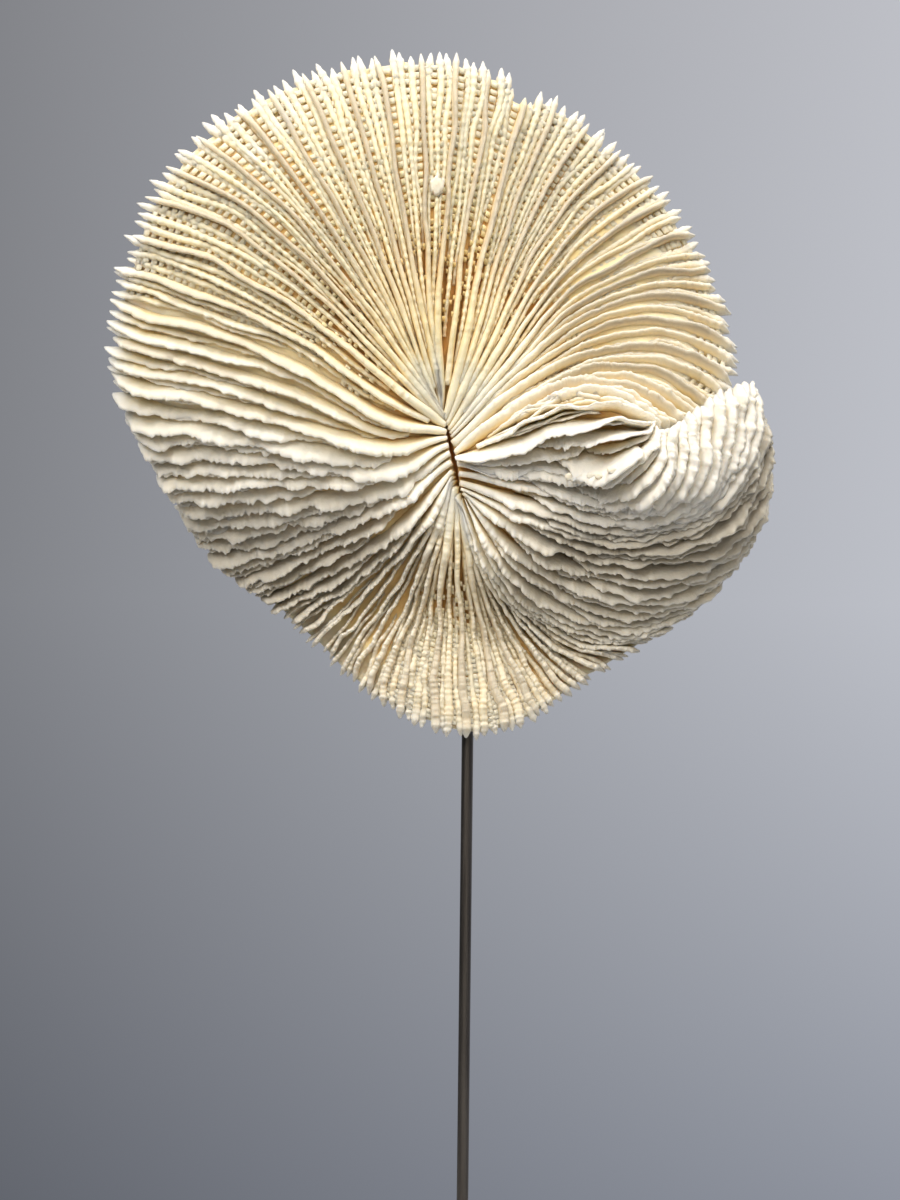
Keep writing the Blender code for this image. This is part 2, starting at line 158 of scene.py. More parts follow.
# The coral's plate: the folded disc of chalky limestone that carries every wall. Its form is set by
# ribs, the lines of single septa from the mouth to the margin, clockwise from the one that points
# straight up. Each has five stations (x, z, depth) in millimetres from the mouth.
RIBS = (
    ((-2.3, 7.0, 5), (-3.6, 28.8, 1), (-2.3, 52.0, -1), (-0.5, 75.0, 0), (1.5, 98.0, 4)),
    ((-1.7, 6.0, 5), (1.0, 28.0, 1), (3.5, 50.5, 1), (7.3, 73.0, 3), (11.8, 95.5, 7)),
    ((-1.2, 4.6, 5), (5.5, 25.5, 2), (10.8, 46.5, 4), (18.0, 67.5, 8), (27.5, 88.8, 13)),
    ((-0.8, 3.2, 5), (9.5, 22.5, 3), (18.3, 41.3, 7), (30.3, 58.8, 13), (47.5, 75.0, 19)),
    ((-0.4, 1.8, 5), (14.8, 19.0, 4), (27.8, 34.5, 9), (45.5, 45.5, 15), (63.5, 53.8, 21)),
    ((0.0, 0.5, 5), (17.3, 15.5, 4), (33.3, 25.8, 8), (52.0, 30.0, 12), (71.0, 25.0, 16)),
    ((0.3, -0.9, 5), (18.0, 12.0, 3.5), (34.0, 19.8, 7), (52.0, 21.3, 9), (69.0, 14.5, 11)),
    ((0.8, -2.4, 5), (16.5, 7.0, 2.5), (31.0, 13.2, 4.5), (46.5, 13.7, 5), (61.0, 6.5, 8)),
    ((1.3, -4.2, 5), (14.0, 0.0, 1), (27.0, 3.8, -2), (39.0, 4.0, -6), (50.0, 1.5, -3)),
    ((1.6, -6.4, 5), (19.0, -7.0, 4), (37.0, -9.5, 2), (47.5, -8.0, -7), (53.0, 2.0, -6)),
    ((1.8, -8.8, 5), (19.5, -11.5, 4.5), (39.5, -15.0, 4), (57.0, -10.0, -6), (62.5, 10.0, -6)),
    ((2.0, -11.0, 5), (19.5, -15.5, 5), (40.5, -19.5, 6), (63.5, -11.0, -2), (74.0, 15.3, -1)),
    ((2.4, -12.8, 5), (19.0, -19.8, 6), (39.0, -25.0, 8), (63.0, -21.5, 4), (80.5, -2.0, 5)),
    ((3.0, -13.8, 5), (16.0, -24.3, 8), (33.0, -31.5, 12), (55.0, -33.5, 12), (79.0, -18.5, 13)),
    ((3.0, -14.3, 5), (11.5, -27.3, 9), (25.5, -38.0, 16), (44.0, -44.5, 19), (65.5, -40.0, 19)),
    ((2.5, -14.0, 5), (7.8, -28.5, 10), (15.5, -41.0, 18), (25.5, -53.0, 20), (37.0, -60.8, 18)),
    ((2.0, -13.2, 5), (4.2, -28.8, 10), (7.8, -45.0, 17), (12.3, -60.0, 16), (17.5, -73.5, 12.5)),
    ((1.5, -12.2, 5), (1.5, -28.3, 9), (2.3, -44.5, 15), (3.3, -60.5, 13.5), (4.5, -76.3, 10.5)),
    ((1.0, -11.0, 5), (-1.8, -27.0, 9), (-4.0, -42.5, 15), (-6.0, -58.0, 14), (-7.0, -73.3, 11)),
    ((0.7, -9.8, 5), (-4.8, -25.0, 9), (-10.0, -39.0, 16), (-16.0, -52.5, 17), (-21.0, -66.0, 15)),
    ((0.6, -8.5, 5), (-8.3, -19.5, 8), (-18.3, -29.0, 16), (-29.0, -39.3, 22), (-40.0, -49.3, 23)),
    ((0.4, -7.1, 5), (-12.0, -17.5, 8), (-25.5, -24.3, 15), (-39.8, -31.3, 22), (-53.5, -38.0, 26)),
    ((0.1, -5.6, 5), (-15.0, -13.5, 7), (-31.0, -18.3, 13), (-46.8, -23.8, 20), (-62.3, -30.0, 25)),
    ((-0.3, -4.0, 5), (-16.8, -10.5, 6), (-34.3, -14.3, 10), (-53.0, -17.5, 15), (-70.5, -18.8, 21)),
    ((-0.7, -2.6, 5), (-16.8, -7.5, 4), (-35.5, -9.5, 6), (-54.3, -10.0, 8), (-73.0, -12.0, 11)),
    ((-1.1, -1.2, 5), (-16.8, -4.0, 3), (-38.0, -2.0, 3), (-59.3, 0.0, 4), (-80.0, -1.3, 7)),
    ((-1.5, 0.3, 5), (-19.5, -1.0, 1), (-41.0, 4.5, 0), (-63.0, 9.3, 0), (-86.0, 13.0, 2)),
    ((-1.9, 1.8, 5), (-18.0, 5.5, 0), (-39.0, 18.0, -3), (-61.8, 25.8, -4), (-86.3, 31.3, -3)),
    ((-2.3, 3.3, 5), (-17.3, 14.3, -1), (-36.8, 28.8, -5), (-58.5, 40.8, -7), (-82.0, 48.0, -6)),
    ((-2.6, 4.7, 5), (-16.0, 20.0, -1), (-31.8, 36.8, -5), (-51.8, 53.3, -8), (-75.5, 63.3, -7)),
    ((-2.9, 6.0, 5), (-12.0, 23.8, 0), (-24.0, 44.3, -4), (-38.0, 65.0, -6), (-53.0, 85.8, -3)),
    ((-2.9, 7.0, 5), (-8.0, 26.3, 0), (-13.3, 48.8, -2), (-19.3, 72.5, -2), (-25.5, 97.0, 2)),
)
COLUMNS, ROWS = 2048, 257
RIDGE_RIBS = slice(9, 12)
MORE_ON_RIDGE = 1.6
SHARPEST_TURN = 1.6

stations = np.array(RIBS, float)[:, :, [0, 2, 1]]
outer = stations[:, 3:]
spans = np.linalg.norm(np.roll(outer, -1, axis=0) - outer, axis=2).mean(axis=1)
spans[RIDGE_RIBS] *= MORE_ON_RIDGE
spans /= spans.sum()
rib_turns = np.concatenate([[0.0], np.cumsum(spans)])


def rib_lines(shares):
    """Every rib's points at these shares of the way out, by a Catmull-Rom curve through its stations."""
    last = stations.shape[1] - 1
    at = np.clip(shares, 0, 1) * last
    i = np.minimum(at.astype(int), last - 1)
    t = (at - i)[None, :, None]
    padded = np.concatenate([
        2 * stations[:, :1] - stations[:, 1:2], stations, 2 * stations[:, -1:] - stations[:, -2:-1]
    ], axis=1)
    p0, p1, p2, p3 = (padded[:, i + k] for k in range(4))
    return 0.5 * (
        2 * p1 + (p2 - p0) * t + (2 * p0 - 5 * p1 + 4 * p2 - p3) * t**2 + (3 * p1 - p0 - 3 * p2 + p3) * t**3
    )


def disc_form():
    """The upper face of the plate as a grid of points, columns round the mouth and rows out from it."""
    points = rib_lines(np.linspace(0, 1, ROWS))
    span = spans[:, None, None]
    ahead = (np.roll(points, -1, axis=0) - points) / span
    behind = np.roll(ahead, 1, axis=0)
    before = np.roll(span, 1, axis=0)
    weight = span / (span + before)
    tangents = weight * behind + (1 - weight) * ahead
    # A tangent is cut back where neighbouring chords disagree, so that a sharp fold doesn't ripple
    small = np.minimum(np.linalg.norm(ahead, axis=2), np.linalg.norm(behind, axis=2))
    long = np.linalg.norm(tangents, axis=2)
    tangents *= np.minimum(1.0, SHARPEST_TURN * small / np.maximum(long, 1e-9))[:, :, None]
    u = np.arange(COLUMNS) / COLUMNS
    i = np.searchsorted(rib_turns, u, side="right") - 1
    t = ((u - rib_turns[i]) / spans[i])[:, None, None]
    j = (i + 1) % len(spans)
    step = spans[i][:, None, None]
    return (
        (2 * t**3 - 3 * t**2 + 1) * points[i]
        + (t**3 - 2 * t**2 + t) * step * tangents[i]
        + (3 * t**2 - 2 * t**3) * points[j]
        + (t**3 - t**2) * step * tangents[j]
    )


def unit(vectors):
    return vectors / np.maximum(np.linalg.norm(vectors, axis=-1, keepdims=True), 1e-9)


def softened(field, across, along):
    """The field, averaged over a few columns and rows."""
    total = sum(np.roll(field, k, axis=0) for k in range(-across, across + 1)) / (2 * across + 1)
    ends = np.concatenate([np.repeat(total[:, :1], along, 1), total, np.repeat(total[:, -1:], along, 1)], 1)
    return sum(ends[:, k:k + field.shape[1]] for k in range(2 * along + 1)) / (2 * along + 1)


def turn_of(rib):
    """The turn round the mouth of a rib, by its number from 1, or of a place between two ribs."""
    return np.interp(np.asarray(rib, float) - 1, np.arange(len(rib_turns)), rib_turns)


def round_the_mouth(u, *pairs):
    """A value that changes from rib to rib: each pair is a rib's number and the value there."""
    return np.interp(np.mod(u, 1.0), turn_of([p[0] for p in pairs]), [p[1] for p in pairs], period=1.0)


def smooth(low, high, value):
    t = np.clip((value - low) / (high - low), 0, 1)
    return t * t * (3 - 2 * t)


# The fan's margin runs on a little behind the ridge, where it is hidden from the front, so that no gap
# shows between the two. Each pair of RUNS_ON is a rib's number and how much it runs on there.
RUN_ON_LONG = 5.5
RUN_ON_WAY = (0.93, 0.0, -0.37)
RUN_ON_FROM = 0.7
RUNS_ON = ((5, 0.0), (7, 0.8), (8, 1.0), (9, 0.0))
COLUMNS_EACH_SIDE = 4

grid_u = (np.arange(COLUMNS) / COLUMNS)[:, None]
grid_s = np.linspace(0, 1, ROWS)[None, :]
run_on = round_the_mouth(grid_u, *RUNS_ON) * np.clip((grid_s - RUN_ON_FROM) / (1 - RUN_ON_FROM), 0, 1)**2
form = disc_form() + (RUN_ON_LONG * run_on)[..., None] * np.array(RUN_ON_WAY)
across_form = np.roll(form, -COLUMNS_EACH_SIDE, axis=0) - np.roll(form, COLUMNS_EACH_SIDE, axis=0)
run = unit(np.gradient(form, axis=1))
normals = unit(np.cross(across_form, run))
facing = np.array([0.0, -1.0, 0.0])

# The walls don't stand quite square on the plate. Where DROOP is above 0 they hang down, so that their
# upper faces show, and in the fan at the upper right, where it is below 0, they tip up.
DROOP = ((1, 0.0), (3, -0.12), (5, -0.35), (7, -0.5), (8, -0.3), (9, 0.45), (10, 0.5), (12, 0.4), (14, 0.35),
         (16, 0.25), (18, 0.0), (20, 0.3), (22, 0.5), (24, 0.9), (27, 1.0), (28, 0.7), (29, 0.45), (30, 0.2),
         (32, 0.05))
TO_THE_FRONT = 0.15

droop = round_the_mouth(grid_u, *DROOP) * smooth(0.0, 0.2, grid_s)
stand = unit(softened(normals, 8, 4)) - np.array([0, 0, 1.0]) * droop[..., None] + TO_THE_FRONT * facing
stand = unit(stand - run * np.sum(stand * run, axis=-1, keepdims=True))


def read(grid, u, s):
    """The grid's value at turns u and shares s, between its columns and rows."""
    a = np.mod(u, 1.0) * COLUMNS
    b = np.clip(s, 0, 1) * (ROWS - 1)
    i, j = a.astype(int), np.minimum(b.astype(int), ROWS - 2)
    fa, fb = (a - i)[..., None], (b - j)[..., None]
    i, k = i % COLUMNS, (i + 1) % COLUMNS
    return (
        grid[i, j] * (1 - fa) * (1 - fb) + grid[k, j] * fa * (1 - fb)
        + grid[i, j + 1] * (1 - fa) * fb + grid[k, j + 1] * fa * fb
    )


RIPPLE_STEPS = 4096
ripple_table = np.random.default_rng(11).uniform(-1, 1, RIPPLE_STEPS)


def ripple(at, number):
    """Smooth noise between -1 and 1 along a line, a different one for each number."""
    i = np.floor(at).astype(int)
    t = at - i
    t = t * t * (3 - 2 * t)
    start = i + number * 131
    return ripple_table[start % RIPPLE_STEPS] * (1 - t) + ripple_table[(start + 1) % RIPPLE_STEPS] * t


# Coral colour by height: golden brown deep in the slots, then cream, then pale at the crests. The brown deep
# down is partly the coral's warm tone and partly painted shade. White is where it is bleached most, and also
# painted light. The shade grey is painted shade on thin crests and on walls that tip up, and painted shadow
# on the lobes.
CHALK_BY_HEIGHT = ((0.0, (0.58, 0.33, 0.11)), (0.08, (0.84, 0.55, 0.23)), (0.20, (0.95, 0.74, 0.40)),
                   (0.5, (0.95, 0.80, 0.53)), (0.72, (0.96, 0.85, 0.62)), (1.0, (0.92, 0.84, 0.69)))
CHALK_WHITE = (0.88, 0.86, 0.81)
CHALK_SHADE_GREY = (0.46, 0.43, 0.37)
CHALK_ROUGHNESS = 0.72
CHALK_SHINE = 0.25
CHALK_GLOW = 0.8
CHALK_GLOW_COLOUR = (1.0, 0.9, 0.75)
CHALK_GLOW_DEPTH = 0.0024
GRAIN_SCALE = 1400
GRAIN_STRENGTH = 0.35
GRAIN_HEIGHT = 0.0004


def chalk_finish():
    """Bleached coral with a fine grain. Each point's tints say how high it is, how white, and how much
    painted shade it carries.
    """
    material = bpy.data.materials.new("bleached coral")
    material.use_nodes = True
    nodes, links = material.node_tree.nodes, material.node_tree.links
    shader = nodes["Principled BSDF"]
    shader.inputs["Roughness"].default_value = CHALK_ROUGHNESS
    shader.inputs["Specular IOR Level"].default_value = CHALK_SHINE
    shader.inputs["Subsurface Weight"].default_value = CHALK_GLOW
    shader.inputs["Subsurface Radius"].default_value = CHALK_GLOW_COLOUR
    shader.inputs["Subsurface Scale"].default_value = CHALK_GLOW_DEPTH
    tints = nodes.new("ShaderNodeAttribute")
    tints.attribute_name = "tints"
    split = nodes.new("ShaderNodeSeparateColor")
    links.new(tints.outputs["Color"], split.inputs["Color"])
    ramp = nodes.new("ShaderNodeValToRGB")
    while len(ramp.color_ramp.elements) < len(CHALK_BY_HEIGHT):
        ramp.color_ramp.elements.new(0.5)
    for element, (at, colour) in zip(ramp.color_ramp.elements, CHALK_BY_HEIGHT):
        element.position = at
        element.color = (*colour, 1)
    links.new(split.outputs["Red"], ramp.inputs["Fac"])
    place = nodes.new("ShaderNodeTexCoord")
    grain = nodes.new("ShaderNodeTexNoise")
    grain.inputs["Scale"].default_value = GRAIN_SCALE
    grain.inputs["Detail"].default_value = 4
    links.new(place.outputs["Object"], grain.inputs["Vector"])
    white = nodes.new("ShaderNodeMix")
    white.data_type = "RGBA"
    white.inputs["B"].default_value = (*CHALK_WHITE, 1)
    links.new(split.outputs["Green"], white.inputs["Factor"])
    links.new(ramp.outputs["Color"], white.inputs["A"])
    # The third tint mixes in the grey of painted shade.
    painted_shade = nodes.new("ShaderNodeMix")
    painted_shade.data_type = "RGBA"
    painted_shade.inputs["B"].default_value = (*CHALK_SHADE_GREY, 1)
    links.new(split.outputs["Blue"], painted_shade.inputs["Factor"])
    links.new(white.outputs["Result"], painted_shade.inputs["A"])
    links.new(painted_shade.outputs["Result"], shader.inputs["Base Color"])
    bump = nodes.new("ShaderNodeBump")
    bump.inputs["Strength"].default_value = GRAIN_STRENGTH
    bump.inputs["Distance"].default_value = GRAIN_HEIGHT
    links.new(grain.outputs["Fac"], bump.inputs["Height"])
    links.new(bump.outputs["Normal"], shader.inputs["Normal"])
    return material


skeleton = chalk_finish()


def chalk(name, points, quads, tints, ends=()):
    """A piece of the skeleton from points in millimetres. Its tints are height, whiteness and painted shade.
    """
    data = bpy.data.meshes.new(name)
    points = np.asarray(points, np.float32).reshape(-1, 3)
    turn = np.array(coral_place.to_3x3())
    world = points @ turn.T * MM + np.array(coral_place.translation)
    quads = np.asarray(quads, np.int32).reshape(-1, 4)
    corners = quads.reshape(-1)
    starts = np.arange(len(quads)) * 4
    for end in ends:
        end = np.asarray(end, np.int32).reshape(-1, np.shape(end)[-1])
        starts = np.concatenate([starts, len(corners) + np.arange(len(end)) * end.shape[1]])
        corners = np.concatenate([corners, end.reshape(-1)])
    data.vertices.add(len(world))
    data.vertices.foreach_set("co", world.astype(np.float32).ravel())
    data.loops.add(len(corners))
    data.loops.foreach_set("vertex_index", corners)
    data.polygons.add(len(starts))
    data.polygons.foreach_set("loop_start", starts)
    data.update(calc_edges=True)
    data.shade_smooth()
    colours = np.ones((len(world), 4), np.float32)
    colours[:, :3] = np.asarray(tints, np.float32).reshape(-1, 3)
    layer = data.color_attributes.new("tints", "FLOAT_COLOR", "POINT")
    layer.data.foreach_set("color", colours.ravel())
    data.validate()
    piece = bpy.data.objects.new(name, data)
    bpy.context.scene.collection.objects.link(piece)
    data.materials.append(skeleton)
    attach(piece, "root")
    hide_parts("coral")


# Tables by rib. WHITER is how white the skeleton is, most at the fold and the lobe below it: partly its
# bleaching and partly painted light where the lamps fall on it directly. NOTCHED is the share of the way out
# by which the margin is broken away. CROWDED is where walls stand close and high. RIGHT_FLOOR is where the
# floor is higher and lighter, and LEFT_SHELF where it is only lighter, the lightness being painted light. A
# crust is the x, z and radius of a white patch.
WHITER = ((1, 0.0), (4, 0.15), (5, 0.4), (8, 0.6), (9, 0.85), (11, 0.9), (14, 0.75), (16, 0.5), (18, 0.25),
          (20, 0.5), (23, 0.8), (26, 0.75), (28, 0.5), (30, 0.15))
NOTCHED = ((1, 0.0), (2.2, 0.0), (2.35, 0.035), (2.6, 0.04), (2.75, 0.0), (3.6, 0.0), (3.7, 0.02),
           (3.8, 0.0))
CROWDED = ((1, 0.0), (4, 0.0), (7, 0.2), (8, 0.5), (9, 1.0), (14, 1.0), (16, 0.6), (17, 0.1), (19, 0.1),
           (20.5, 0.6), (22, 1.0), (26, 1.0), (27, 0.8), (28, 0.45), (29, 0.15), (30, 0.0))
RIGHT_FLOOR = ((4, 0.0), (5, 1.0), (8, 1.0), (9, 0.0))
LEFT_SHELF = ((25.5, 0.0), (26.5, 0.35), (28.3, 0.35), (29.3, 0.0))
CRUSTS = ((-41.5, 80.0, 7.0), (-48.0, 71.0, 5.0), (42.0, 72.5, 6.0), (-4.0, 64.0, 3.0))
LEFT_HALF_FROM = 19
PLATE_COLUMNS = 512
FLOOR_ROWS, UNDERSIDE_ROWS = 60, 72
PLATE_END = 0.955
THICK_CENTRE = 9.0
THICK_MARGIN = 3.5
STEEPEST_FACING = 0.45
PIT_RINGS = ((0.3, 7.0), (0.8, 4.0))
ROUGH_FLOOR = 0.25
ROUGH_RIM = 0.006
COSTAE = 128
COSTA_HEIGHT = 0.9
ROUGH_UNDERSIDE = 0.45

# How far the floor rises between the walls, and over which stretch of the way out from the mouth
FLOOR_RISE, FLOOR_RISES = 1.5, (0.3, 0.62)
LEFT_FLOOR_RISE, LEFT_FLOOR_RISES = 2.4, (0.22, 0.36)
RIGHT_FLOOR_RISE, RIGHT_FLOOR_RISES = 1.2, (0.3, 0.6)
FLOOR_SINKS = (0.82, 0.93)

# How light the floor and the underside are, from 0 for the brown of the slots to 1 for the crests. The
# floor's brown is partly painted shade, and RIGHT_LIGHT and the left shelf add painted light.
PIT_LIGHT, FLOOR_LIGHT, MOUTH_LIGHT = 0.05, 0.01, 0.08
FAN_LIGHT, RIGHT_LIGHT, LEFT_LIGHT = 0.07, 0.38, 0.16
RIM_LIGHT, RIM_WHITE = 0.45, 0.7
UNDERSIDE_LIGHT, COSTA_LIGHT, UNDERSIDE_WHITE = 0.5, 0.35, 0.3


def crusted(points):
    """How far the points lie in one of the white crusts, from 0 to 1."""
    share = 0
    for x, z, radius in CRUSTS:
        away = np.hypot(points[..., 0] - x, points[..., 2] - z) / radius
        share = np.maximum(share, 1 - smooth(0.3, 1.0, away))
    return share


def plate_shell():
    """The plate's floor between the septa, its rim, and the underside with low costae."""
    u = np.arange(PLATE_COLUMNS) / PLATE_COLUMNS
    rim = PLATE_END + ROUGH_RIM * ripple(u * 190, 5) - round_the_mouth(u, *NOTCHED)
    mouth = read(form, u, 0 * u)
    middle = mouth.mean(axis=0)
    rows = [middle + (mouth - middle) * wide - facing * deep for wide, deep in PIT_RINGS]
    whiter = round_the_mouth(u, *WHITER)
    crowd = round_the_mouth(u, *CROWDED)
    left = crowd * (u > turn_of(LEFT_HALF_FROM))
    right = round_the_mouth(u, *RIGHT_FLOOR)
    shelf = round_the_mouth(u, *LEFT_SHELF)
    tints = [np.stack([PIT_LIGHT + 0 * u, 0 * u, 0 * u], 1)] * len(PIT_RINGS)
    for share in np.linspace(0.0, 1.0, FLOOR_ROWS):
        s = share * rim
        raised = FLOOR_RISE * (1 - crowd) * smooth(*FLOOR_RISES, s)
        raised = raised + LEFT_FLOOR_RISE * left * smooth(*LEFT_FLOOR_RISES, s)
        raised = raised + RIGHT_FLOOR_RISE * right * smooth(*RIGHT_FLOOR_RISES, s)
        raised = raised * (1 - smooth(*FLOOR_SINKS, s))
        raised = raised + ROUGH_FLOOR * ripple(u * 900, int(share * 400))
        rows.append(read(form, u, s) + read(stand, u, s) * raised[:, None])
        edge = smooth(0.8, 1, share)
        # Painted shade keeps the floor near the brown end; painted light lifts it in the right fan and on the
        # left shelf.
        light = FLOOR_LIGHT + MOUTH_LIGHT * (1 - smooth(0.12, 0.26, s))
        light = light + (FAN_LIGHT * (1 - crowd) + RIGHT_LIGHT * right) * smooth(0.4, 0.7, s)
        light = light + LEFT_LIGHT * left + shelf * smooth(0.15, 0.35, s) + RIM_LIGHT * edge
        tints.append(np.stack([light, RIM_WHITE * whiter * edge, 0 * u], 1))
    for share in np.linspace(1.0, 0.03, UNDERSIDE_ROWS):
        s = share * rim
        thickness = THICK_MARGIN + (THICK_CENTRE - THICK_MARGIN) * (1 - s * s)
        depth = thickness / np.maximum(-read(normals, u, s)[:, 1], STEEPEST_FACING)
        costa = np.abs(np.sin(math.pi * u * COSTAE))
        relief = COSTA_HEIGHT * costa + ROUGH_UNDERSIDE * ripple(u * 777 + share * 40, 3)
        depth = depth + smooth(0.1, 0.4, s) * relief
        rows.append(read(form, u, s) - facing * depth[:, None])
        tints.append(np.stack([UNDERSIDE_LIGHT + COSTA_LIGHT * costa, UNDERSIDE_WHITE + 0 * u, 0 * u], 1))
    points = np.stack(rows, 1)
    count = points.shape[1]
    i = np.arange(PLATE_COLUMNS)[:, None]
    j = np.arange(count - 1)[None, :]
    a, b = i * count + j, ((i + 1) % PLATE_COLUMNS) * count + j
    quads = np.stack([a, a + 1, b + 1, b], -1)
    first = (np.arange(PLATE_COLUMNS) * count)[None, :]
    last = first[:, ::-1] + count - 1
    chalk("coral_plate", points, quads, np.stack(tints, 1), (first, last))


plate_shell()

# The septa: thin upright walls of limestone that grew out from the mouth, the old ones tall and
# reaching the mouth, the younger ones lower, thinner and starting further out. Each is one leaf with
# a rounded, toothed edge, fused to the plate.
ALL_SEPTA = 256
OLDEST = 32
ROOT_DEPTH = 0.8
TALLEST = 7.5
TO_MARGIN = 85.0
TIP_LONG = 0.03
CURL = 0.7

# How far a wall stands from its even place, and how far its line bends, as shares of a gap between walls
STRAY = 0.12
WANDER = 0.35

# The edge: how it starts, as a share of the full height, how much lower it is at the margin, and the
# height and pitch of its waves, teeth, chips, tears, beads and lace
BLUNT_START, SLOPING_START = 0.85, 0.4
STARTS_AT_MOUTH = 0.12
SLOPE_LONG = 0.13
LOWER_AT_MARGIN, LESS_LOW_WHERE_CROWDED = 0.5, 0.2
LOWEST_EDGE = 0.3
LONG_WAVE, LONG_WAVE_PITCH = 0.09, 11
SHORT_WAVE, SHORT_WAVE_PITCH = 0.04, 3
TOOTH_HIGH, TOOTH_PITCH, WIDE_TOOTH_PITCH = 0.36, 1.0, 2.1
CHIP_HIGH, CHIP_PITCH = 0.35, 0.5
TEAR_HIGH, TEAR_PITCH = 1.0, 5.5
BEAD_PITCH, BEAD_SIDE_PITCH = 0.85, 0.7
LACE_HIGH, LACE_PITCH = 0.1, 1.9

# How much thicker a wall is at its tip, where its tip is blunt and on the ridge, how much of its room it
# may fill where walls are crowded and how much less in the fans, and the long and short bends in it
THICKER_TIP, TIP_THICKENS = 0.35, (0.7, 0.95)
THICKER_BLUNT, BLUNT_THICKENS = 1.0, (0.5, 0.85)
THICKER_ON_RIDGE, RIDGE_BEGINS = 0.75, (0.5, 0.75)
FILLS_ROOM, FILLS_LESS = 0.92, 0.58
PACKED_FIRST, PACKS_FULLY = 0.62, (0.35, 0.72)
THINNER_WHERE_CROWDED = 0.25
LONG_BEND, LONG_BEND_PITCH = 0.7, 3.5
SHORT_BEND, SHORT_BEND_PITCH = 0.4, 1.3

# The tints: how white the tips are, how much painted shade greys the thin crests and the walls that tip up,
# how dark the stains, where painted shadow begins and how much less of it falls on the ridge, how light the
# crests near the mouth, and how much painted light lifts the crests of the low rows in the fans
TIP_BEGINS = 0.86
TIP_WHITE = 0.8
SHADE_ON_THIN_CRESTS, SHADE_ON_TIPPED_WALLS = 0.75, 0.45
STAIN_DARK, STAIN_BEGINS, STAIN_ENDS = 0.9, (0.1, 0.2), (0.45, 0.95)
SHADOW_BEGINS, LESS_SHADOW_ON_RIDGE = (0.15, 0.4), 0.85
MOUTH_CREST, MOUTH_CREST_ENDS = 0.78, (0.15, 0.32)
PAINTED_ROW_LIGHT = 0.64

# Each row is a place across the wall, as a share of its thickness, and its height, as a share of the
# wall's. Height 0 is the root, which runs down into the plate.
SECTION = ((-0.5, 0.0), (-0.52, 0.4), (-0.46, 0.82), (-0.2, 0.99), (0.2, 0.99), (0.46, 0.82), (0.52, 0.4),
           (0.5, 0.0))

# Tables by rib: how ragged the edges are, where painted shade greys the walls that tip up, where their tips
# are blunt, where they are stained brown, where painted shadow darkens them, where they stand close and high,
# where they thicken on the ridge, and where the younger ones start late. The youngest walls are crowded by
# the plate's own table.
RAGGED = ((1, 0.12), (5, 0.2), (8, 0.4), (9, 0.7), (13, 1.0), (16, 0.7), (18, 0.3), (20, 0.7), (23, 1.0),
          (26, 0.9), (28, 0.5), (31, 0.15))
TIPPED_UP_SHADE = ((1, 0.0), (4, 0.3), (5, 1.0), (8, 1.0), (8.6, 0.0))
BLUNT = ((1, 0.0), (15.5, 0.0), (17, 1.0), (19, 1.0), (20.5, 0.0))
STAINED = ((1, 1.0), (3, 0.9), (5, 0.5), (8, 0.4), (9, 0.1), (14, 0.1), (17, 0.5), (20, 0.5), (23, 0.1),
           (27, 0.05), (28.3, 0.15), (29.3, 0.75))
PAINTED_SHADOW = ((1, 0.0), (8, 0.0), (10, 0.15), (11.3, 0.4), (12, 1.0), (13, 1.0), (14, 0.55), (15.5, 0.5),
          (17, 0.28), (19, 0.28), (20.5, 0.6), (22, 0.8), (24, 0.5), (26, 0.15), (27, 0.0))
CROWDED_BROAD = ((1, 0.0), (3.5, 0.0), (5, 0.3), (7, 0.45), (8.3, 0.5), (9, 1.0), (14, 1.0), (16, 0.6),
                 (17, 0.1), (19, 0.1), (20.5, 0.6), (22, 1.0), (26, 1.0), (27, 0.8), (28, 0.45), (29, 0.15),
                 (30, 0.0))
ON_RIDGE = ((1, 0.0), (9.3, 0.0), (9.9, 1.0), (12.1, 1.0), (12.7, 0.0), (32, 0.0))
LATE = ((1, 0.0), (7, 0.0), (8.5, 0.2), (9.5, 0.7), (12, 1.0), (14, 1.0), (15.5, 0.6), (17, 0.1), (19, 0.1),
        (20.5, 0.5), (22, 1.0), (25, 0.8), (27, 0.5), (28, 0.25), (29, 0.0))

# How long a whole turn round the mouth is at each place, if the columns were spaced as they are there
turn_long = np.linalg.norm(across_form, axis=2, keepdims=True) * COLUMNS / (2 * COLUMNS_EACH_SIDE)
turn_long = softened(turn_long, 6, 3)


